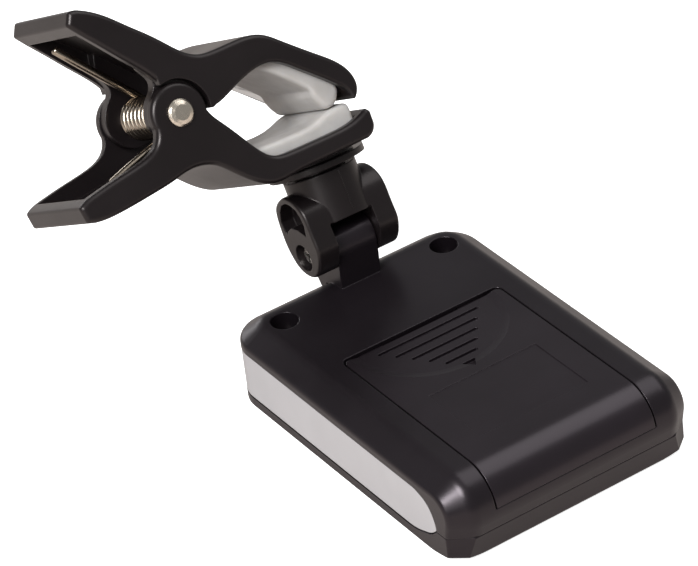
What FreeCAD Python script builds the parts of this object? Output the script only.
"""Clip-on tuner: tuner head, tilting yoke, swivelling spring clip.

Frame: origin at the centre of the front face, which is also the face the
tuner lies on.  +X to the right when looking at the back, +Y towards the
hinge ("upper" end), +Z out of the back.  Millimetres.
"""
import FreeCAD
import Part
import Sketcher
import math
import os
from FreeCAD import Vector as V

doc = FreeCAD.newDocument("clip_on_tuner")

# ---- driving dimensions --------------------------------------------------
SIZE = {
    # head
    "body_width": 43.4, "body_length": 60.8, "body_depth": 13.5,
    "corner_radius": 6.0, "bevel_side": 2.45, "bevel_top": 3.5,
    "parting_height": 4.6, "wall": 1.6,
    "cavity_width": 38.2, "cavity_narrow": 31.0,
    "panel_low": 1.98, "panel_high": 9.6, "panel_thick": 1.2,
    # battery door and coin cell
    "door_width": 28.8, "recess_width": 29.36, "door_thick": 1.5,
    "cell_radius": 10.0, "cell_thick": 3.2, "bowl_radius": 10.3,
    "groove_width": 0.65, "groove_depth": 0.8,
    # hinge and yoke
    "lug_width": 7.3, "knuckle_radius": 3.6,
    "hinge_y": 27.9, "hinge_z": 19.3,
    "hinge_shank_radius": 1.25, "hinge_bore_radius": 1.3,
    "yoke_width": 15.0, "yoke_gap": 7.7, "slot_radius": 6.6,
    # housing screws
    "screw_well_radius": 2.25, "screw_x": 14.95, "screw_y": 23.37,
    "screw_shank_radius": 1.0, "screw_pilot_radius": 1.04,
    # display, buttons and board
    "lens_width": 36.6, "lens_height": 28.6, "lens_thick": 1.0,
    "window_width": 33.0, "window_height": 25.0, "lens_centre": 5.5,
    "button_width": 10.0, "button_height": 5.0,
    "button_x": 9.0, "button_y": -19.5, "button_play": 0.1,
    "board_width": 37.0, "board_low": 5.6, "board_thick": 1.0,
    # swivel
    "lean_angle": 28.6, "swivel_y": 29.0, "swivel_z": 22.2,
    "neck_radius": 5.9, "swivel_disc_radius": 7.8,
    "swivel_shank_radius": 1.5, "swivel_bore_radius": 1.55,
    # clip; the pivot is given in the clip's own frame
    "clip_width": 22.0, "arm_inside": 18.4, "upper_inside": 18.2,
    "upper_ear_inside": 14.4,
    "pivot_x": -22.8, "pivot_z": 26.4, "ear_radius": 4.6,
    "ear_recess_radius": 5.1, "pin_radius": 1.5,
    "pin_bore_radius": 1.55, "rivet_head_radius": 2.1,
    "pad_width": 17.8,
    "coil_radius": 2.75, "wire_radius": 0.65, "coil_pitch": 1.42,
    "coil_turns": 6.5,
}
sheet = doc.addObject("Spreadsheet::Sheet", "Sheet")
for row, (alias, value) in enumerate(SIZE.items(), 1):
    sheet.set("A%d" % row, alias)
    sheet.set("B%d" % row, repr(value))
    sheet.setAlias("B%d" % row, alias)
doc.recompute()

XY, XZ, YZ = "XY_Plane", "XZ_Plane", "YZ_Plane"
SIDES = (-1, 1)
COS45 = math.sqrt(0.5)

# Clip frame: own z is the swivel axis, which leans towards +Y; own x is +X.
LEAN = FreeCAD.Rotation(V(1, 0, 0), -SIZE["lean_angle"])
CLIP = FreeCAD.Placement(V(0, SIZE["swivel_y"], SIZE["swivel_z"]), LEAN)


def polar(centre, radius, degrees):
    """Point on a circle, as a pair in the sketch's own axes."""
    a = math.radians(degrees)
    return (centre[0] + radius * math.cos(a), centre[1] + radius * math.sin(a))


# ---- places shared by several pieces -------------------------------------
HALF_W = SIZE["body_width"] / 2
HALF_L = SIZE["body_length"] / 2
DEPTH = SIZE["body_depth"]
PARTING = SIZE["parting_height"]
# Lower end of the head, as (y, z): the back rolls over END_RADIUS, then the
# end face draws in by DRAFT degrees towards the front.
END_RADIUS = 6.0
DRAFT = 12.0
DRAFT_SLOPE = math.tan(math.radians(DRAFT))
END_CENTRE = (-HALF_L + END_RADIUS, DEPTH - END_RADIUS)
ROLL_END = polar(END_CENTRE, END_RADIUS, 180 + DRAFT)
END_AT_PARTING = (ROLL_END[0] + (ROLL_END[1] - PARTING) * DRAFT_SLOPE, PARTING)
END_AT_FRONT = (ROLL_END[0] + ROLL_END[1] * DRAFT_SLOPE, 0.0)
# centre of the rounded upper corner, on the +X side
CORNER_X = HALF_W - SIZE["corner_radius"]
CORNER_Y = HALF_L - SIZE["corner_radius"]

CAVITY_LOW, CAVITY_HIGH = -27.2, 24.2      # y range of the wide cavity
NARROW_LOW, NARROW_HIGH = 20.0, 28.4       # y range of its narrow upper end
CEILING = 12.0                             # inside of the back wall, z
CELL_Y = -8.0
CELL_FLOOR = 8.5
TONGUE_XS = (-9.0, 9.0)
SCREW_XS = (-SIZE["screw_x"], SIZE["screw_x"])
SCREW_Y = SIZE["screw_y"]
BUTTON_XS = (-SIZE["button_x"], SIZE["button_x"])
BUTTON_Y = SIZE["button_y"]
HINGE = (SIZE["hinge_y"], SIZE["hinge_z"])
PIVOT = (SIZE["pivot_x"], SIZE["pivot_z"])


# ---- sketches ------------------------------------------------------------
def new_body(label):
    body = doc.addObject("PartDesign::Body", label)
    body.Label = label
    return body


def sketch(body, role, offset=0.0, placement=None):
    """Sketch on an origin plane, offset along its normal or freely placed.
    Sketch axes: XY is (x, y); YZ is (y, z), normal +X; XZ is (x, z), normal -Y."""
    support = [f for f in body.Origin.OriginFeatures if f.Role == role][0]
    sk = body.newObject("Sketcher::SketchObject", "Sketch")
    sk.AttachmentSupport = [(support, "")]
    sk.MapMode = "FlatFace"
    if placement is None:
        placement = FreeCAD.Placement(V(0, 0, offset), FreeCAD.Rotation())
    sk.AttachmentOffset = placement
    return sk


def outline(sk, pts):
    """Closed outline.  pts: (x, y) for a line to that point, or
    (mx, my, x, y) for an arc through (mx, my) to (x, y), or a list of points
    for a smooth curve on through them."""
    ends = [p[-1] if isinstance(p, list) else p[-2:] for p in pts]
    first = sk.GeometryCount
    for i, p in enumerate(pts):
        start = V(ends[i - 1][0], ends[i - 1][1], 0)
        end = V(ends[i][0], ends[i][1], 0)
        if isinstance(p, list):
            curve = Part.BSplineCurve()
            curve.interpolate([start] + [V(x, y, 0) for x, y in p])
        elif len(p) == 2:
            curve = Part.LineSegment(start, end)
        else:
            curve = Part.Arc(start, V(p[0], p[1], 0), end)
        sk.addGeometry(curve, False)

    def vertex(i, at):
        # an arc's stored start and end follow its turning sense
        q = sk.getPoint(first + i, 1)
        return 1 if math.hypot(q.x - at[0], q.y - at[1]) < 1e-6 else 2

    for i in range(len(pts)):
        j = (i + 1) % len(pts)
        sk.addConstraint(Sketcher.Constraint(
            "Coincident", first + i, vertex(i, ends[i]), first + j, vertex(j, ends[i])))
    return sk


def rect(sk, x0, x1, y0, y1, wide=None, high=None):
    """Rectangle; wide and high are optional expressions that drive its sides."""
    first = sk.GeometryCount
    outline(sk, [(x1, y0), (x1, y1), (x0, y1), (x0, y0)])
    for i, kind in enumerate(("Horizontal", "Vertical", "Horizontal", "Vertical")):
        sk.addConstraint(Sketcher.Constraint(kind, first + i))
    for edge, length, expression in ((first, x1 - x0, wide), (first + 1, y1 - y0, high)):
        if expression:
            i = sk.addConstraint(Sketcher.Constraint("Distance", edge, length))
            sk.setExpression("Constraints[%d]" % i, expression)
    return sk


def plus(alias, extra):
    return "Sheet.%s + (%r)" % (alias, extra)


def circle(sk, x, y, radius, extra=0.0):
    """Circle; radius is a number, or an alias that drives it (with extra added)."""
    bound = isinstance(radius, str)
    r = SIZE[radius] + extra if bound else radius
    edge = sk.addGeometry(Part.Circle(V(x, y, 0), V(0, 0, 1), r), False)
    i = sk.addConstraint(Sketcher.Constraint("Radius", edge, r))
    if bound:
        sk.setExpression("Constraints[%d]" % i, plus(radius, extra))
    return sk


def pill(sk, x, y, width, height):
    """Slot shape with round ends, long side along the sketch's x."""
    r = height / 2
    return outline(sk, [
        (x + width / 2 - r, y - r), (x + width / 2, y, x + width / 2 - r, y + r),
        (x - width / 2 + r, y + r), (x - width / 2, y, x - width / 2 + r, y - r)])


def about_lens(sk, width, height, extra=0.0):
    """Rectangle centred on the lens, its sides driven by two aliases."""
    half_w = (SIZE[width] + extra) / 2
    half_h = (SIZE[height] + extra) / 2
    centre = SIZE["lens_centre"]
    return rect(sk, -half_w, half_w, centre - half_h, centre + half_h,
                plus(width, extra), plus(height, extra))


# ---- features ------------------------------------------------------------
def set_size(feature, prop, size):
    """size is a number or an expression on the sheet."""
    if isinstance(size, str):
        feature.setExpression(prop, size)
    else:
        setattr(feature, prop, size)


def extrude(body, kind, sk, length, both, reverse, name):
    f = body.newObject(kind, name)
    f.Profile = sk
    set_size(f, "Length", length)
    if both:
        f.SideType = "Symmetric"
    f.Reversed = reverse
    doc.recompute()


def pad(body, sk, length, both=False, reverse=False, name="Pad"):
    extrude(body, "PartDesign::Pad", sk, length, both, reverse, name)


def check_removed(body, before):
    if not body.Shape.Volume < before - 1e-6:
        raise RuntimeError("%s: a cut removed nothing" % body.Label)


def cut(body, sk, length, both=False, reverse=False, name="Pocket"):
    """Pocket against the sketch normal; reverse cuts along it."""
    before = body.Shape.Volume
    extrude(body, "PartDesign::Pocket", sk, length, both, reverse, name)
    check_removed(body, before)


def revolve(body, sk, axis, kind="Revolution", name="Revolution"):
    f = body.newObject("PartDesign::" + kind, name)
    f.Profile = sk
    f.ReferenceAxis = (sk, [axis])
    f.Angle = 360.0
    doc.recompute()


def block(body, xs, ys, z, height, name="Pad"):
    pad(body, rect(sketch(body, XY, z), *xs, *ys), height, name=name)


def slot(body, xs, ys, z, depth, name):
    """Rectangular pocket from z down."""
    cut(body, rect(sketch(body, XY, z), *xs, *ys), depth, name=name)


def post(body, x, y, radius, z, height, name="Pad", extra=0.0):
    pad(body, circle(sketch(body, XY, z), x, y, radius, extra), height, name=name)


def hole(body, x, y, radius, z, depth, name):
    """Round pocket from z down."""
    cut(body, circle(sketch(body, XY, z), x, y, radius), depth, name=name)


def cross_bore(body, role, centre, radius, length, name):
    """Bore right across the body, both ways from an origin plane."""
    cut(body, circle(sketch(body, role), *centre, radius), length, both=True, name=name)


# ---- edges ---------------------------------------------------------------
def near(value, target, slack=0.01):
    return abs(value - target) < slack


def mid(e):
    return e.valueAt((e.FirstParameter + e.LastParameter) / 2.0)


def vertical(e):
    return abs(e.tangentAt(e.FirstParameter).z) > 0.99


def edges_where(body, test):
    return ["Edge%d" % i for i, e in enumerate(body.Tip.Shape.Edges, 1) if test(e)]


def across(body, corners):
    """Edges that run across a clip arm at the given corners of its outline."""
    return edges_where(body, lambda e: any(near(mid(e).x, x, 0.05) and near(mid(e).z, z, 0.05)
                                           for x, z in corners))


def discard(body, feature):
    body.removeObject(feature)
    doc.removeObject(feature.Name)
    doc.recompute()


def fillet(body, edges, *radii, required=False):
    """Round edges with the first radius that works.  The kernel may refuse a
    radius, so a failed one is taken out again; only a required one stops."""
    if edges:
        for radius in radii:
            f = body.newObject("PartDesign::Fillet", "Fillet")
            f.Base = (f.BaseFeature, edges)
            set_size(f, "Radius", radius)
            doc.recompute()
            if not ("Invalid" in f.State or f.Shape.isNull() or not f.Shape.isValid()):
                return
            discard(body, f)
    if required:
        raise RuntimeError(body.Label + ": a rounding failed")


# ---- housings ------------------------------------------------------------
NOTCH_OVER = 0.4          # how far the notch cutters reach outside the head
NOTCH_CLEAR = 0.06        # gap behind a trim panel
PARTING_OVER = 0.5        # how far cutters reach past the parting plane
NOTCH_LOW = SIZE["panel_low"] - 0.22
NOTCH_HIGH = SIZE["panel_high"] + 0.08
# (y, z) of the notch in each housing
REAR_NOTCH = [
    (CORNER_Y, PARTING - PARTING_OVER), (CORNER_Y, NOTCH_HIGH), (-18.9, NOTCH_HIGH),
    (-20.31, 9.56, -21.46, 9.21), (-22.56, 8.75, -23.38, 8.07),
    (-24.35, 6.63, -24.88, 4.56), (-24.88, PARTING - PARTING_OVER)]
FRONT_NOTCH = [
    (CORNER_Y, PARTING + PARTING_OVER), (-24.88, PARTING + PARTING_OVER), (-24.88, 4.56),
    (-23.75, 3.44, -21.8, 2.62), (-19.87, 2.02, -17.7, NOTCH_LOW), (CORNER_Y, NOTCH_LOW)]


def corner_round(body):
    """Round the two upper corners of the head."""
    fillet(body, edges_where(body, lambda e: near(abs(mid(e).x), HALF_W)
                             and near(mid(e).y, HALF_L) and vertical(e)),
           "Sheet.corner_radius", required=True)


def corner_band(side, outer, inner, low_y, end_x):
    """Band between two radii round an upper corner, from low_y to x = end_x."""
    return [(side * (CORNER_X + outer), low_y),
            (side * (CORNER_X + outer * COS45), CORNER_Y + outer * COS45,
             side * CORNER_X, CORNER_Y + outer),
            (side * end_x, CORNER_Y + outer), (side * end_x, CORNER_Y + inner),
            (side * CORNER_X, CORNER_Y + inner),
            (side * (CORNER_X + inner * COS45), CORNER_Y + inner * COS45,
             side * (CORNER_X + inner), low_y)]


def trim_notches(body, profile, low, high):
    """Steps for the trim panels, let into the side walls and upper corners."""
    step = SIZE["panel_thick"] + NOTCH_CLEAR
    for side in SIDES:
        cut(body, outline(sketch(body, YZ, side * (HALF_W + NOTCH_OVER)), profile),
            NOTCH_OVER + step, reverse=(side < 0), name="TrimSide")
        band = corner_band(side, SIZE["corner_radius"] + NOTCH_OVER,
                           SIZE["corner_radius"] - step, CORNER_Y - 0.01, 13.9)
        cut(body, outline(sketch(body, XY, high), band), high - low, name="TrimCorner")


def bevel_back(body):
    """Bevel along the two long edges of the back.  Which face takes which
    size depends on the flip, so the width left flat on the back decides."""
    edges = edges_where(body, lambda e: near(abs(mid(e).x), HALF_W) and near(mid(e).z, DEPTH)
                        and e.Length > 40)
    flat_width = SIZE["body_width"] - 2 * SIZE["bevel_top"]
    for flip in (False, True):
        f = body.newObject("PartDesign::Chamfer", "Bevel")
        f.Base = (f.BaseFeature, edges)
        f.ChamferType = "Two distances"
        f.FlipDirection = flip
        f.setExpression("Size", "Sheet.bevel_top")
        f.setExpression("Size2", "Sheet.bevel_side")
        doc.recompute()
        faces = [] if f.Shape.isNull() else f.Shape.Faces
        width = max([q.BoundBox.XLength for q in faces if abs(q.normalAt(0, 0).z) > 0.999
                     and near(q.BoundBox.ZMin, DEPTH)] or [0])
        if near(width, flat_width, 0.1) and f.Shape.isValid():
            break
        discard(body, f)
    else:
        raise RuntimeError("rear housing bevel failed")
    # the bevel rolls softly into the back and has a small round on its outer edge
    fillet(body, edges_where(body, lambda e: near(abs(mid(e).x), HALF_W - SIZE["bevel_top"], 0.02)
                             and near(mid(e).z, DEPTH) and e.Length > 30), 3.0, 2.0, 1.2)
    fillet(body, edges_where(body, lambda e: near(abs(mid(e).x), HALF_W, 0.02)
                             and near(mid(e).z, DEPTH - SIZE["bevel_side"], 0.05)
                             and e.Length > 30), 1.0, 0.7)


def door_seat(body):
    """Stepped seat for the battery door, rolling over the lower end."""
    depth, top_y, low_z = 1.6, 8.7, 8.1
    radius = END_RADIUS - depth
    roll_end = (END_CENTRE[0] - math.sqrt(radius ** 2 - (low_z - END_CENTRE[1]) ** 2), low_z)
    beyond = -HALF_L - 1.5
    cut(body, outline(sketch(body, YZ), [
        (top_y, DEPTH + 1), (top_y, DEPTH - depth), (END_CENTRE[0], DEPTH - depth),
        (*polar(END_CENTRE, radius, 135), *roll_end),
        (beyond, low_z), (beyond, DEPTH + 1)]),
        "Sheet.recess_width", both=True, name="DoorSeat")
    fillet(body, edges_where(body, lambda e: near(mid(e).y, top_y) and vertical(e)
                             and near(abs(mid(e).x), SIZE["recess_width"] / 2, 0.02)), 1.3)


def rear_housing():
    body = new_body("rear_housing")
    roll_mid = polar(END_CENTRE, END_RADIUS, (90 + 180 + DRAFT) / 2)
    pad(body, outline(sketch(body, YZ), [
        (HALF_L, PARTING), (HALF_L, DEPTH), (END_CENTRE[0], DEPTH),
        (*roll_mid, *ROLL_END), END_AT_PARTING]), "Sheet.body_width", both=True)
    corner_round(body)
    bevel_back(body)
    # cavity, with a lower ceiling over the battery door
    below = PARTING - 1
    cut(body, outline(sketch(body, YZ), [
        (CAVITY_HIGH, below), (CAVITY_HIGH, CEILING), (9.6, CEILING), (9.6, 10.5),
        (-22.5, 10.5), (CAVITY_LOW, 6.2), (CAVITY_LOW, below)]),
        "Sheet.cavity_width", both=True, name="Inside")
    cut(body, outline(sketch(body, YZ), [
        (NARROW_HIGH, below), (NARROW_HIGH, CEILING), (NARROW_LOW, CEILING),
        (NARROW_LOW, below)]), "Sheet.cavity_narrow", both=True, name="InsideEnd")
    for x in SCREW_XS:                       # room for the front towers
        hole(body, x, SCREW_Y, 2.7, z=5.75, depth=1.3, name="TowerRoom")
    # cup that holds the coin cell
    post(body, 0, CELL_Y, 11.6, z=7.0, height=3.6, name="CellCup")
    door_seat(body)
    hole(body, 0, CELL_Y, "bowl_radius", z=12.0, depth=3.8, name="CellBowl")
    slot(body, (-3.2, 3.2), (1.0, 3.5), z=12.0, depth=5.5, name="ContactSlot")
    slot(body, (-2.1, 2.1), (-14.3, -13.5), z=9.0, depth=2.5, name="TagSlot")
    for x in TONGUE_XS:                      # catch slots for the door's tongues
        slot(body, (x - 2.2, x + 2.2), (8.5, 10.6), z=12.95, depth=1.05, name="TongueSlot")
    # screw towers, wells and clearance holes
    for x in SCREW_XS:
        post(body, x, SCREW_Y, 3.2, z=6.65, height=5.4, name="Tower")
    for x in SCREW_XS:
        hole(body, x, SCREW_Y, "screw_well_radius", z=DEPTH, depth=5.0, name="Well")
        hole(body, x, SCREW_Y, 1.15, z=9.0, depth=3.0, name="ScrewHole")
    # hinge lug, moulded on the back at the upper end
    hy, hz = HINGE
    knuckle = SIZE["knuckle_radius"]
    pad(body, outline(sketch(body, YZ), [
        (hy - knuckle, 12.5), (hy - knuckle, hz), (hy, hz + knuckle, hy + knuckle, hz),
        (hy + knuckle, 12.6), (HALF_L - 0.4, 10.6), (HALF_L - 1.6, 10.6),
        (HALF_L - 1.6, 12.5)]), "Sheet.lug_width", both=True, name="Lug")
    cross_bore(body, YZ, HINGE, "hinge_bore_radius", 20, "HingeBore")
    trim_notches(body, REAR_NOTCH, PARTING - PARTING_OVER, NOTCH_HIGH)


def lower_corners(body):
    """Facets on the two lower corners of the front housing."""
    inner_x, outer_x = HALF_W - SIZE["bevel_top"], HALF_W + 2
    low_y = ROLL_END[0] - 0.6
    high_y = END_AT_PARTING[0] + SIZE["bevel_side"] + 0.25
    for side in SIDES:
        cut(body, outline(sketch(body, XY, PARTING + 0.5), [
            (side * inner_x, low_y), (side * inner_x, END_AT_PARTING[0]),
            (side * HALF_W, high_y), (side * outer_x, high_y), (side * outer_x, low_y)]),
            8.0, name="CornerFacet")


def lift_corners(body):
    """Curve the two lower corners up from the face, along each diagonal."""
    radius, start, beyond = 20.0, 28.2, 36.5     # distances run out from the origin
    arc = [(d, radius - math.sqrt(radius ** 2 - (d - start) ** 2)) for d in (31.6, 35.2)]
    for side in SIDES:
        along, normal = V(side * COS45, -COS45, 0), V(-COS45, -side * COS45, 0)
        turned_plane = FreeCAD.Placement(
            V(0, 0, 0), FreeCAD.Rotation(along, V(0, 0, 1), normal, "XYZ"))
        cut(body, outline(sketch(body, XY, placement=turned_plane), [
            (*arc[0], *arc[1]), (beyond, arc[1][1]), (beyond, -1.0),
            (start, -1.0), (start, 0.0)]), 26.0, both=True, name="CornerLift")


def front_housing():
    body = new_body("front_housing")
    pad(body, outline(sketch(body, YZ), [
        (HALF_L, 0), (HALF_L, PARTING), END_AT_PARTING, END_AT_FRONT]),
        "Sheet.body_width", both=True)
    corner_round(body)
    # small step under the parting line
    rim = edges_where(body, lambda e: near(e.BoundBox.ZMin, PARTING)
                      and near(e.BoundBox.ZMax, PARTING))
    line = body.newObject("PartDesign::Chamfer", "PartingLine")
    line.Base = (line.BaseFeature, rim)
    line.Size = 0.2
    doc.recompute()
    if "Invalid" in line.State or not line.Shape.isValid():
        raise RuntimeError("parting line failed")
    lower_corners(body)
    fillet(body, edges_where(body, lambda e: near(mid(e).z, 0) and mid(e).y < -26.0), 1.0)
    fillet(body, edges_where(body, lambda e: near(mid(e).z, 0) and mid(e).y > -26.0
                             and e.BoundBox.ZLength < 0.01), 0.4)
    lift_corners(body)
    for alias, low, high, name in (("cavity_width", CAVITY_LOW, CAVITY_HIGH, "Inside"),
                                   ("cavity_narrow", NARROW_LOW, NARROW_HIGH, "InsideEnd")):
        half = SIZE[alias] / 2
        cut(body, rect(sketch(body, XY, PARTING), -half, half, low, high, "Sheet." + alias),
            PARTING - SIZE["wall"], name=name)
    cut(body, about_lens(sketch(body, XY), "lens_width", "lens_height", 0.2),
        1.05, reverse=True, name="LensSeat")
    cut(body, about_lens(sketch(body, XY), "window_width", "window_height"),
        2.2, reverse=True, name="Window")
    play = 2 * SIZE["button_play"]
    for x in BUTTON_XS:
        cut(body, pill(sketch(body, XY), x, BUTTON_Y, SIZE["button_width"] + play,
                       SIZE["button_height"] + play), 2.2, reverse=True, name="ButtonHole")
    # screw towers and board rests stand on the floor to the same height
    rest_low, rest_height = 1.5, 4.05
    for x in SCREW_XS:
        post(body, x, SCREW_Y, 2.4, rest_low, rest_height, "Tower")
    for x in (-17.75, 17.75):
        block(body, (x - 0.75, x + 0.75), (-24.5, -21.0), rest_low, rest_height, "BoardRest")
    for x in SCREW_XS:
        hole(body, x, SCREW_Y, "screw_pilot_radius", rest_low + rest_height, 3.6, "Pilot")
    trim_notches(body, FRONT_NOTCH, NOTCH_LOW, PARTING + PARTING_OVER)


# ---- side trim panels ----------------------------------------------------
# (y, z) of what is trimmed off the lower end of a panel
PANEL_TAPER = [
    (-18.9, 9.8), (-18.9, 9.6), (-20.3, 9.48, -21.44, 9.13), (-22.5, 8.68, -23.3, 8.0),
    (-24.25, 6.6, -24.74, 4.62), (-23.6, 3.62, -21.7, 2.82),
    (-19.8, 2.22, -17.7, 1.98), (-17.7, 1.8), (-25.5, 1.8), (-25.5, 9.8)]


def side_panel(label, side):
    body = new_body(label)
    outer = SIZE["corner_radius"] - 0.03
    inner = SIZE["corner_radius"] - SIZE["panel_thick"]
    low_y = -24.74
    pad(body, outline(sketch(body, XY, SIZE["panel_low"]),
                      [(side * (CORNER_X + outer), low_y)]
                      + corner_band(side, outer, inner, CORNER_Y, 14.0)
                      + [(side * (CORNER_X + inner), low_y)]),
        "Sheet.panel_high - Sheet.panel_low")
    cut(body, outline(sketch(body, YZ), PANEL_TAPER), 60, both=True, name="Taper")


# ---- battery door, coin cell and contacts --------------------------------
def thumb_hollow(body):
    """Shallow dished hollow, turned about a line parallel to z at y = 8."""
    axis_y = 8.0
    sk = outline(sketch(body, YZ), [
        (axis_y, DEPTH - 0.36), (2.0, DEPTH - 0.345, -3.9, DEPTH - 0.27),
        (-4.55, DEPTH - 0.17, -5.3, DEPTH), (-5.3, DEPTH + 1.0), (axis_y, DEPTH + 1.0)])
    sk.addGeometry(Part.LineSegment(V(axis_y, 0, 0), V(axis_y, 10, 0)), True)
    before = body.Shape.Volume
    revolve(body, sk, "Axis0", "Groove", "ThumbHollow")
    check_removed(body, before)


def battery_door():
    body = new_body("battery_door")
    thick = SIZE["door_thick"]
    inner = END_RADIUS - thick
    top_y, low_z = 8.1, 8.2

    def roll_end(radius):
        return (END_CENTRE[0] - math.sqrt(radius ** 2 - (low_z - END_CENTRE[1]) ** 2), low_z)

    pad(body, outline(sketch(body, YZ), [
        (top_y, DEPTH), (END_CENTRE[0], DEPTH),
        (*polar(END_CENTRE, END_RADIUS, 137), *roll_end(END_RADIUS)), roll_end(inner),
        (*polar(END_CENTRE, inner, 137), END_CENTRE[0], DEPTH - thick),
        (top_y, DEPTH - thick)]), "Sheet.door_width", both=True)
    fillet(body, edges_where(body, lambda e: near(mid(e).y, top_y) and vertical(e)), 1.0)
    for x in TONGUE_XS:                      # tongues that hook under the housing
        block(body, (x - 2.0, x + 2.0), (6.6, 10.2), z=12.0, height=0.8, name="Tongue")
    thumb_hollow(body)
    # five grip grooves that narrow towards an arrow
    first_y, pitch = 6.4, 2.16
    for k, length in enumerate((18.6, 15.2, 12.1, 9.0, 5.9)):
        cut(body, pill(sketch(body, XY, DEPTH), 0.0, first_y - pitch * k, length,
                       SIZE["groove_width"]), "Sheet.groove_depth", name="Grip")
    cut(body, outline(sketch(body, XY, DEPTH), [(0.0, -5.9), (1.25, -3.9), (-1.25, -3.9)]),
        "Sheet.groove_depth", name="Arrow")
    slot(body, (-9.8, 9.8), (-20.6, -7.5), z=DEPTH, depth=0.12, name="LabelField")


def coin_cell():
    body = new_body("coin_cell")
    rim_y = CELL_Y + SIZE["cell_radius"]
    top = CELL_FLOOR + SIZE["cell_thick"]
    sk = outline(sketch(body, YZ), [
        (CELL_Y + 8.9, CELL_FLOOR), (CELL_Y + 8.9, CELL_FLOOR + 0.35),
        (CELL_Y + 9.6, CELL_FLOOR + 0.35), (rim_y, CELL_FLOOR + 0.75), (rim_y, top - 0.3),
        (rim_y - 0.3, top), (CELL_Y, top), (CELL_Y, CELL_FLOOR)])
    sk.addGeometry(Part.LineSegment(V(CELL_Y, 0, 0), V(CELL_Y, 10, 0)), True)
    revolve(body, sk, "Axis0")


# bent strips, (y, z)
POSITIVE_STRIP = [
    (2.06, 6.62), (2.46, 6.62), (2.46, 8.4), (2.3, 9.2), (2.46, 10.6), (3.1, 11.3),
    (2.9, 11.5), (2.15, 10.8), (2.05, 9.2)]
NEGATIVE_STRIP = [
    (-14.1, 6.62), (-13.75, 6.62), (-13.75, 8.22), (-9.2, 8.22), (-8.0, 8.27),
    (-6.8, 8.22), (-2.0, 8.22), (-2.0, 8.42), (-6.6, 8.42), (-8.0, 8.48),
    (-9.4, 8.42), (-14.1, 8.42)]


def battery_contact(label, strip, width):
    body = new_body(label)
    pad(body, outline(sketch(body, YZ), strip), width, both=True)


# ---- electronics ---------------------------------------------------------
def circuit_board():
    body = new_body("circuit_board")
    half = SIZE["board_width"] / 2
    notch_x, chamfer = 15.2, 1.5             # upper tab half width, corner cut
    right = [(half - chamfer, -26.3), (half, -24.8), (half, 22.2), (half - chamfer, 23.7),
             (notch_x, 23.7), (notch_x, 27.4)]
    left = [(-x, y) for x, y in reversed(right)]
    pad(body, outline(sketch(body, XY, SIZE["board_low"]), right + left), "Sheet.board_thick")
    for x in SCREW_XS:
        hole(body, x, SCREW_Y, 1.2, SIZE["board_low"] + SIZE["board_thick"], 1.5, "ScrewHole")


def tuner_chip():
    body = new_body("tuner_chip")
    x, y = 10.0, 15.0
    half, leg_reach, leg_half, leg_pitch = 3.5, 4.4, 0.2, 0.9
    low, height = 6.75, 1.2
    block(body, (x - half, x + half), (y - half, y + half), low, height)
    fillet(body, edges_where(body, lambda e: near(mid(e).z, low + height)), 0.2)
    for k in range(6):                       # each strip makes a leg on two sides
        shift = (k - 2.5) * leg_pitch
        block(body, (x - leg_reach, x + leg_reach),
              (y + shift - leg_half, y + shift + leg_half), 6.62, 0.16, "Legs")
        block(body, (x + shift - leg_half, x + shift + leg_half),
              (y - leg_reach, y + leg_reach), 6.62, 0.16, "Legs")


def display():
    glass = new_body("lcd_glass")
    block(glass, (-17.2, 17.2), (-10.6, 19.0), z=1.65, height=0.9)
    block(glass, (-17.2, 17.2), (-7.9, 19.0), z=2.55, height=0.85)

    backlight = new_body("lcd_backlight")
    block(backlight, (-17.0, 17.0), (-7.6, 18.8), z=3.45, height=1.9)
    block(backlight, (-6.0, 6.0), (18.0, 19.9), z=3.45, height=1.6)

    zebra = new_body("zebra_connector")
    block(zebra, (-15.5, 15.5), (-10.3, -8.2), z=2.6, height=2.96)

    lens = new_body("display_lens")
    pad(lens, about_lens(sketch(lens, XY), "lens_width", "lens_height"), "Sheet.lens_thick")


def piezo_disc():
    body = new_body("piezo_disc")
    post(body, 0, 17.5, 6.0, z=11.72, height=0.23)
    post(body, 0, 17.5, 4.4, z=11.5, height=0.22)


def button(label, x):
    body = new_body(label)
    width, height = SIZE["button_width"], SIZE["button_height"]
    face, cap, flange, overhang = 0.35, 1.4, 0.6, 0.8
    pad(body, pill(sketch(body, XY, face), x, BUTTON_Y, width, height), cap, name="Cap")
    fillet(body, edges_where(body, lambda e: near(mid(e).z, face)), 0.3)
    pad(body, pill(sketch(body, XY, face + cap), x, BUTTON_Y,
                   width + 2 * overhang, height + 2 * overhang), flange, name="Flange")
    post(body, x, BUTTON_Y, 1.4, face + cap + flange, 0.65, "Stem")


def switch(x):
    side = 4.5
    case = doc.addObject("Part::Box", "SwitchBody")
    case.Length = side
    case.Width = side
    case.Height = 1.6
    case.Placement.Base = V(x - side / 2, BUTTON_Y - side / 2, 3.96)
    tip = doc.addObject("Part::Cylinder", "SwitchTip")
    tip.Radius = 1.0
    tip.Height = 0.7
    tip.Placement.Base = V(x, BUTTON_Y, 3.46)
    fuse = doc.addObject("Part::Fuse", "Switch")
    fuse.Base = case
    fuse.Tool = tip
    return fuse


def compound(label, links):
    group = doc.addObject("Part::Compound", label)
    group.Links = links
    group.Label = label
    doc.recompute()


# ---- turned parts --------------------------------------------------------
def turned(label, pts, place, cross=None):
    """Body of revolution about its own z; pts are (radius, z).
    cross: (z, length, width, depth) of a cross recess in the head."""
    body = new_body(label)
    revolve(body, outline(sketch(body, XZ), pts), "V_Axis")
    if cross:
        z, length, width, depth = cross
        for wx, wy in ((length, width), (width, length)):
            slot(body, (-wx / 2, wx / 2), (-wy / 2, wy / 2), z, depth, "Cross")
    body.Placement = place
    return body


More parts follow.
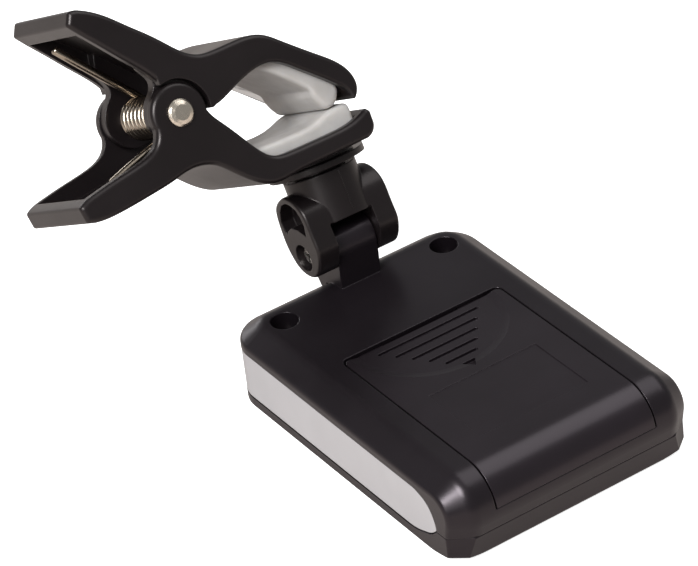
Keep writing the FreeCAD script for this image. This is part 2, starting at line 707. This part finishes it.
def housing_screw(label, x):
    shank = SIZE["screw_shank_radius"]
    return turned(label, [
        (0, -6.2), (0.35, -6.2), (shank, -5.3), (shank, 0), (1.9, 0), (1.9, 0.75),
        (1.4, 1.3), (0, 1.4)],
        FreeCAD.Placement(V(x, SCREW_Y, 8.53), FreeCAD.Rotation()), (1.5, 2.2, 0.5, 1.0))


NUT_RADIUS = 2.0 / math.cos(math.radians(30))     # corner radius, 4 mm across flats


def hexagon(radius):
    return [polar(HINGE, radius, 30 + 60 * k) for k in range(6)]


def hinge_fasteners():
    """Screw with its head at -X, washer under the head, nut at +X."""
    place = FreeCAD.Placement(V(0, *HINGE), FreeCAD.Rotation(V(0, 1, 0), -90))
    shank = SIZE["hinge_shank_radius"]
    turned("hinge_screw", [
        (0, -6.9), (shank - 0.25, -6.9), (shank, -6.65), (shank, 5.45), (1.95, 5.45),
        (1.95, 6.1), (1.35, 6.6), (0, 6.7)], place, (6.8, 2.3, 0.5, 1.0))
    turned("hinge_washer", [(1.35, 5.16), (2.08, 5.16), (2.08, 5.43), (1.35, 5.43)], place)
    nut = new_body("hinge_nut")
    sk = outline(sketch(nut, YZ, 5.3), hexagon(NUT_RADIUS))
    pad(nut, circle(sk, *HINGE, shank + 0.02), 1.55)


def swivel_fasteners():
    shank = SIZE["swivel_shank_radius"]
    turned("swivel_screw", [
        (0, 4.9), (shank - 0.3, 4.9), (shank, 5.2), (shank, 13.42), (3.0, 13.42),
        (3.0, 13.9), (2.4, 14.3), (0, 14.4)], CLIP, (14.5, 3.0, 0.6, 0.7))
    bore = shank + 0.06
    turned("swivel_washer", [(bore, 13.08), (3.3, 13.08), (3.3, 13.38), (bore, 13.38)], CLIP)


def pivot_pin():
    """Own z of the pin points along the clip's own -y."""
    place = FreeCAD.Placement(V(PIVOT[0], 0, PIVOT[1]), FreeCAD.Rotation(V(1, 0, 0), 90))
    pin, head = SIZE["pin_radius"], SIZE["rivet_head_radius"]
    turned("pivot_pin", [
        (0, -11.9), (1.6, -11.8), (2.0, -11.45), (2.0, -11.04), (pin, -11.04), (pin, 11.04),
        (head, 11.04), (head, 11.3), (head - 0.3, 11.62), (1.2, 11.85), (0, 11.92)],
        CLIP.multiply(place))


# ---- yoke ----------------------------------------------------------------
# (y, z) of the cheek and of the hollow in each cheek's outer face, measured
# from a point 1.4 along y on the back of the head
YOKE_ORIGIN = (1.4, DEPTH)
CHEEK = [
    (33.62, 10.68), (33.34, 9.34), (32.61, 7.47), (31.6, 5.54), (30.24, 3.98),
    (28.8, 2.93), (27.19, 2.52), (25.79, 2.58), (24.3, 3.15), (22.98, 4.29),
    (22.32, 5.56), (21.95, 7.28), (22.06, 9.02), (22.87, 10.46), (23.69, 11.89),
    (24.5, 13.33), (25.39, 14.36), (26.63, 15.03), (27.95, 15.3), (29.65, 15.12),
    (31.17, 14.47), (32.53, 13.25), (33.32, 12.13)]
CORE = [
    (30.14, 14.05), (31.4, 13.1), (32.1, 11.6), (32.18, 9.54), (31.36, 8.38), (30.68, 7.9),
    (30.43, 8.75), (29.3, 9.9), (27.26, 10.49), (25.06, 10.47), (25.27, 12.21),
    (26.12, 13.45), (27.32, 14.23), (28.95, 14.34)]
# (y, z) of the relief where the neck's front meets the cheeks
NECK_RELIEF = [(24.97, 25.2), (20.5, 28.74), (20.5, 23.0), (23.6, 23.0), (24.27, 23.96)]


def on_yoke(pts):
    return [(y + YOKE_ORIGIN[0], z + YOKE_ORIGIN[1]) for y, z in pts]


def yoke():
    body = new_body("yoke")
    sk = sketch(body, YZ)
    curve = Part.BSplineCurve()
    curve.interpolate([V(y, z, 0) for y, z in on_yoke(CHEEK)], PeriodicFlag=True)
    sk.addGeometry(curve, False)
    pad(body, sk, "Sheet.yoke_width", both=True, name="Cheeks")
    fillet(body, edges_where(body, lambda e: near(abs(mid(e).x), SIZE["yoke_width"] / 2)), 0.5)
    # round neck and spigot along the swivel axis
    pad(body, circle(sketch(body, XY, placement=CLIP), 0, 0, "neck_radius"), 8.4, name="Neck")
    pad(body, circle(sketch(body, XY, placement=CLIP), 0, 0, 4.2), 9.06, name="Spigot")
    cut(body, outline(sketch(body, YZ), NECK_RELIEF), 16.0, both=True, name="NeckRelief")
    # gap between the cheeks: a round seat about the hinge axis, open below
    seat, reach, bottom = SIZE["slot_radius"], 13, 10.0
    high_y, low_y = polar(HINGE, reach, 15), polar(HINGE, reach, 168)
    cut(body, outline(sketch(body, YZ), [
        (*polar(HINGE, seat, 95), *polar(HINGE, seat, 25)), high_y, (high_y[0], bottom),
        (low_y[0], bottom), low_y, polar(HINGE, seat, 158)]),
        "Sheet.yoke_gap", both=True, name="Gap")
    cross_bore(body, YZ, HINGE, "hinge_bore_radius", 30, "HingeBore")
    # seats and hollows are cut inwards from planes outside the cheeks
    outside = 8.0
    cut(body, circle(sketch(body, YZ, -outside), *HINGE, 2.2), outside - 5.15,
        reverse=True, name="HeadSeat")
    cut(body, outline(sketch(body, YZ, outside), hexagon(NUT_RADIUS + 0.06)),
        outside - 5.25, name="NutSeat")
    for side in SIDES:
        cut(body, outline(sketch(body, YZ, side * outside), on_yoke(CORE)), outside - 5.2,
            reverse=(side < 0), name="Core")
    hole_top = FreeCAD.Placement(CLIP.multVec(V(0, 0, 9.2)), LEAN)
    cut(body, circle(sketch(body, XY, placement=hole_top), 0, 0,
                     SIZE["swivel_shank_radius"] + 0.03), 4.6, name="SwivelHole")


# ---- clip arms: all outlines are (x, z) in the clip frame ----------------
HALF_CLIP = SIZE["clip_width"] / 2
LOWER_ARM = [
    (6.7, 14.9), (6.65, 13.1), (5.95, 11.75, 4.2, 11.2),
    # underside, out to the handle end
    [(0.0, 11.1), (-4.0, 11.05), (-8.0, 10.95), (-10.6, 10.72), (-12.6, 10.86),
     (-14.6, 11.8), (-17.5, 14.3), (-19.0, 15.85), (-20.3, 16.95), (-21.8, 17.6),
     (-23.4, 17.9), (-25.4, 17.8), (-27.8, 17.35), (-30.5, 17.0), (-33.5, 16.68),
     (-37.1, 16.38), (-39.6, 16.32), (-41.6, 16.55)],
    (-42.9, 16.95), (-43.25, 19.45),
    # wall edge, up to the ear
    [(-42.3, 20.0), (-40.0, 20.6), (-37.1, 21.1), (-34.3, 21.5), (-31.8, 21.9),
     (-29.7, 22.5), (-28.3, 23.4), (-27.55, 24.5), polar(PIVOT, SIZE["ear_radius"], 192)],
    # round the ear
    (*polar(PIVOT, SIZE["ear_radius"], 98), *polar(PIVOT, SIZE["ear_radius"], 345)),
    # down to the jaw
    [(-17.9, 24.1), (-16.7, 22.3), (-14.9, 19.6), (-13.0, 16.7), (-11.7, 15.25),
     (-10.4, 14.55), (-8.4, 14.28), (-4.0, 14.22), (0.0, 14.22), (2.2, 14.35),
     (4.2, 14.8), (6.0, 15.65)]]
LOWER_CHANNEL = [
    (4.7, 13.0), (4.7, 24.0), (-8.0, 24.0), (-14.0, 34.0), (-30.0, 34.0),
    (-41.0, 24.0), (-41.6, 18.6),
    [(-38.6, 18.2), (-34.5, 18.5), (-30.5, 18.95), (-25.0, 19.5), (-22.0, 19.1),
     (-18.4, 16.6), (-14.6, 13.7), (-12.4, 12.8), (-10.4, 12.7), (-8.0, 13.0)]]
UPPER_ARM = [
    # back of the arm, from the jaw to the handle end
    [(5.9, 21.7), (4.4, 23.85), (2.1, 25.9), (-0.6, 28.15),
     (-3.2, 30.4), (-4.9, 31.75), (-6.6, 32.55), (-8.8, 32.9), (-11.6, 32.93),
     (-14.4, 32.95), (-16.4, 33.25), (-18.4, 34.4), (-20.3, 36.3), (-22.7, 38.85),
     (-25.3, 41.3), (-27.6, 43.5), (-30.2, 45.45), (-32.2, 46.45)],
    (-33.45, 46.65), (-34.5, 44.7),
    # wall edge, past the pivot and back to the jaw
    [(-33.1, 42.95), (-30.7, 40.15), (-28.5, 37.5), (-26.3, 34.95), (-24.9, 33.1),
     (-24.2, 31.9)],
    (-24.2, 30.0), (-18.6, 26.5), (-18.3, 25.5, -17.2, 25.2),
    [(-15.1, 25.7), (-11.9, 26.95), (-9.0, 27.75), (-6.5, 27.9), (-4.4, 27.15),
     (-1.9, 25.15), (0.7, 22.9), (3.2, 20.6), (4.3, 19.3), (4.6, 18.2)],
    (4.9, 17.6), (5.75, 18.6, 6.3, 20.2)]
UPPER_CHANNEL = [
    (4.3, 20.6),
    [(3.2, 22.2), (1.2, 23.95), (-1.5, 26.3), (-4.4, 28.85), (-6.0, 30.2),
     (-7.4, 30.95), (-9.0, 31.05)],
    (-15.2, 31.05),
    [(-17.0, 31.3), (-19.0, 32.4), (-21.6, 34.9), (-24.0, 37.4),
     (-26.4, 39.7), (-28.9, 42.1), (-30.6, 43.45), (-31.9, 43.9)],
    (-32.6, 43.4), (-36.0, 38.0), (-30.0, 20.0), (-8.0, 14.0), (4.3, 14.0)]
UPPER_EAR = [
    (-15.9, 28.4), (-15.7, 31.6), (-18.0, 32.6), (-21.6, 35.8), (-24.6, 38.6), (-25.6, 34.7),
    [(-24.75, 33.2), (-24.35, 31.9), (-24.85, 30.8), (-25.85, 29.75), (-26.65, 28.5),
     (-27.05, 27.2), (-27.0, 25.8), (-26.4, 24.3)],
    (PIVOT[0], PIVOT[1] - 4.4, -18.2, 25.6)]
LOWER_PAD = [
    (4.5, 13.1), (4.65, 16.3), (4.5, 17.3), (3.6, 17.42), (1.5, 17.42), (0.4, 17.2),
    (-0.7, 16.85), (-2.2, 16.4), (-4.0, 16.2), (-9.0, 16.35), (-12.6, 16.5), (-12.6, 13.3),
    (-12.1, 12.95), (-10.9, 12.8), (-8.0, 13.0), (-2.6, 13.08)]
UPPER_PAD = [
    (0.9, 17.6), (1.8, 17.52), (2.7, 17.75), (3.5, 18.7), (4.0, 19.8), (3.4, 21.3),
    (2.6, 22.5), (-0.3, 24.9), (-4.5, 28.6), (-5.9, 29.9), (-7.1, 30.75), (-8.5, 30.93),
    (-12.0, 30.93), (-12.2, 29.0), (-10.5, 28.0), (-7.6, 27.1), (-5.4, 25.8),
    (-3.2, 23.8), (-0.6, 21.2), (-0.6, 20.3), (0.0, 18.9)]


def lower_arm():
    body = new_body("lower_arm")
    pad(body, outline(sketch(body, XZ), LOWER_ARM), "Sheet.clip_width", both=True, name="Shell")
    fillet(body, across(body, [(-42.9, 16.95), (-43.25, 19.45), (-41.6, 16.55), (6.7, 14.9),
                               (6.0, 15.65)]), 0.5)
    fillet(body, edges_where(body, lambda e: near(abs(mid(e).y), HALF_CLIP)), 0.8, 0.6, 0.4)
    cut(body, outline(sketch(body, XZ), LOWER_CHANNEL), "Sheet.arm_inside", both=True,
        name="Channel")
    cross_bore(body, XZ, PIVOT, "pin_bore_radius", 40, "PinBore")
    # turntable under the arm
    post(body, 0, 0, "swivel_disc_radius", z=9.1, height=1.0, name="Disc")
    post(body, 0, 0, "swivel_disc_radius", z=9.9, height=1.6, name="Hub", extra=-1.6)
    hole(body, 0, 0, "swivel_bore_radius", z=16.0, depth=8.0, name="SwivelBore")
    body.Placement = CLIP


def upper_arm():
    body = new_body("upper_arm")
    pad(body, outline(sketch(body, XZ), UPPER_ARM), "Sheet.clip_width", both=True, name="Shell")
    fillet(body, across(body, [(-33.45, 46.65), (-34.5, 44.7)]), 0.5)
    # back and handle, then the long wall edges
    fillet(body, edges_where(body, lambda e: near(abs(mid(e).y), HALF_CLIP) and (
        (mid(e).z > 31.5 and mid(e).x < -5) or mid(e).z > 40)), 0.8, 0.7)
    fillet(body, edges_where(body, lambda e: near(abs(mid(e).y), HALF_CLIP)
                             and e.Length > 20 and mid(e).z < 30), 0.5)
    cut(body, outline(sketch(body, XZ), UPPER_CHANNEL), "Sheet.upper_inside", both=True,
        name="Channel")
    # the walls stop short of the lower arm's ears; thinner ears sit inside them
    wall_y, ear_y = SIZE["upper_inside"] / 2, SIZE["upper_ear_inside"] / 2
    for side in SIDES:
        cut(body, circle(sketch(body, XZ, side * wall_y), *PIVOT, "ear_recess_radius"), 4.0,
            reverse=(side > 0), name="EarRoom")
    for side in SIDES:
        pad(body, outline(sketch(body, XZ, side * ear_y), UPPER_EAR), wall_y - ear_y,
            reverse=(side < 0), name="Ear")
    cross_bore(body, XZ, PIVOT, "pin_bore_radius", 40, "PinBore")
    body.Placement = CLIP


def soft_pads():
    lower = new_body("lower_pad")
    pad(lower, outline(sketch(lower, XZ), LOWER_PAD), "Sheet.pad_width", both=True)
    # room for the head of the swivel screw
    cut(lower, circle(sketch(lower, XY, 12.0), 0, 0, 3.6), 2.8, reverse=True, name="ScrewRoom")
    lower.Placement = CLIP

    upper = new_body("upper_pad")
    pad(upper, outline(sketch(upper, XZ), UPPER_PAD), "Sheet.pad_width", both=True)
    upper.Placement = CLIP


# ---- spring --------------------------------------------------------------
def torsion_spring():
    """Wound wire with two straight legs, swept and joined as one solid."""
    spring = doc.addObject("Part::Feature", "torsion_spring")
    spring.Label = "torsion_spring"
    radius, wire = SIZE["coil_radius"], SIZE["wire_radius"]
    length = SIZE["coil_pitch"] * SIZE["coil_turns"]
    sweep = 2 * math.pi * SIZE["coil_turns"]
    helix = Part.makeHelix(SIZE["coil_pitch"], length, radius)
    section = Part.Wire([Part.makeCircle(wire, V(radius, 0, 0), V(0, 1, 0))])
    coil = Part.Wire(helix.Edges).makePipeShell([section], True, True)

    # The coil lies along the clip's own +y, turned about its own axis so that
    # its ends sit where the legs leave; the far end carries the upper leg.
    far_y = 3.9
    near_y = far_y - length
    lay = FreeCAD.Placement(V(PIVOT[0], near_y, PIVOT[1]), FreeCAD.Rotation(V(1, 0, 0), -90))
    spin = FreeCAD.Placement(V(0, 0, 0), FreeCAD.Rotation(V(0, 0, 1), 118))
    coil.Placement = lay.multiply(spin)
    near_end = coil.Placement.multVec(V(radius, 0, 0))
    far_end = coil.Placement.multVec(
        V(radius * math.cos(sweep), radius * math.sin(sweep), length))
    near_tip = V(-34.9, near_y + 0.1, 20.35)
    far_tip = V(-31.6, far_y - 0.1, 40.9)

    def ball(centre):
        return Part.makeSphere(wire, centre)

    def rod(start, end):
        along = end.sub(start)
        return Part.makeCylinder(wire, along.Length, start, along)

    whole = coil
    for piece in (ball(near_end), ball(far_end), rod(near_end, near_tip),
                  rod(far_end, far_tip), ball(near_tip), ball(far_tip)):
        whole = whole.fuse(piece)
    spring.Shape = whole
    spring.Placement = CLIP.multiply(whole.Placement)
    doc.recompute()


# ---- build ---------------------------------------------------------------
rear_housing()
front_housing()
side_panel("side_panel_left", -1)
side_panel("side_panel_right", 1)
battery_door()
coin_cell()
battery_contact("battery_contact_positive", POSITIVE_STRIP, 6.0)
battery_contact("battery_contact_negative", NEGATIVE_STRIP, 4.0)
circuit_board()
tuner_chip()
display()
piezo_disc()
button("power_button", BUTTON_XS[0])
button("mode_button", BUTTON_XS[1])
compound("tact_switches", [switch(x) for x in BUTTON_XS])
compound("housing_screws", [housing_screw("screw_one", SCREW_XS[0]),
                            housing_screw("screw_two", SCREW_XS[1])])
hinge_fasteners()
yoke()
swivel_fasteners()
lower_arm()
upper_arm()
soft_pads()
pivot_pin()
torsion_spring()

# ---- checks and output ---------------------------------------------------
NODES = ["rear_housing", "front_housing", "side_panel_left", "side_panel_right",
         "battery_door", "coin_cell", "battery_contact_positive",
         "battery_contact_negative", "circuit_board", "tuner_chip", "lcd_glass",
         "lcd_backlight", "zebra_connector", "display_lens", "piezo_disc",
         "power_button", "mode_button", "tact_switches", "housing_screws",
         "hinge_screw", "hinge_washer", "hinge_nut", "yoke", "swivel_screw",
         "swivel_washer", "lower_arm", "upper_arm", "lower_pad", "upper_pad",
         "pivot_pin", "torsion_spring"]
PAIRS = ("housing_screws", "tact_switches")      # nodes of two solids
doc.recompute()
problems = []
for obj in doc.Objects:
    if "Invalid" in obj.State or "Error" in obj.State:
        problems.append("%s (%s): %s" % (obj.Label, obj.Name, obj.State))
for name in NODES:
    found = doc.getObjectsByLabel(name)
    if len(found) != 1:
        problems.append("%s: %d objects" % (name, len(found)))
        continue
    shape = found[0].Shape
    if shape.isNull() or not shape.isValid():
        problems.append("%s: bad shape" % name)
    if len(shape.Solids) != (2 if name in PAIRS else 1):
        problems.append("%s: %d solids" % (name, len(shape.Solids)))
if problems:
    raise RuntimeError("; ".join(problems))
os.makedirs("parts", exist_ok=True)
for name in NODES:
    doc.getObjectsByLabel(name)[0].Shape.exportStep("parts/%s.step" % name)
